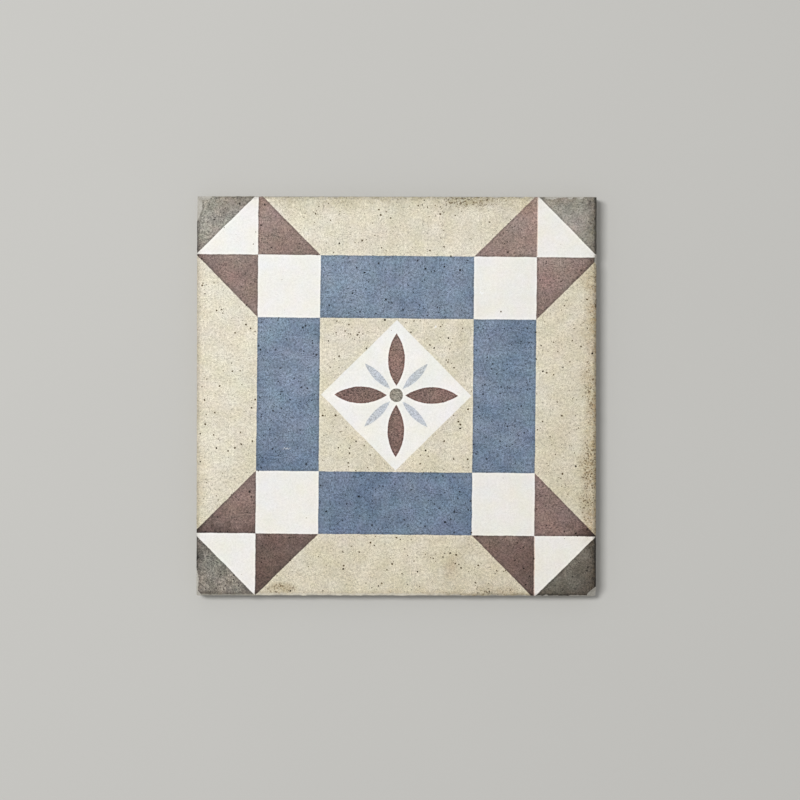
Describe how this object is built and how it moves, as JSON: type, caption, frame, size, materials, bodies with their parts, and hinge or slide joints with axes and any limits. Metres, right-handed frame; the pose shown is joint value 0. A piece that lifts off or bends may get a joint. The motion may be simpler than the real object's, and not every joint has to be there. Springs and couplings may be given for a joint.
{
  "type": "pattern tile",
  "caption": "Square matt ceramic tile with a geometric Victorian pattern of squares, bands and petals, worn edges and a keyed back, for laying on floors or walls.",
  "frame": {"origin": "middle of the back, on the plane that the tile rests on", "axes": "+Z out of the patterned face, +X and +Y along its sides, with +Y up in the picture"},
  "size_m": [0.2, 0.2, 0.01],
  "materials": {
    "tile": "matt"
  },
  "bodies": {
    "root": {"tile": "tile"}
  },
  "joints": []
}
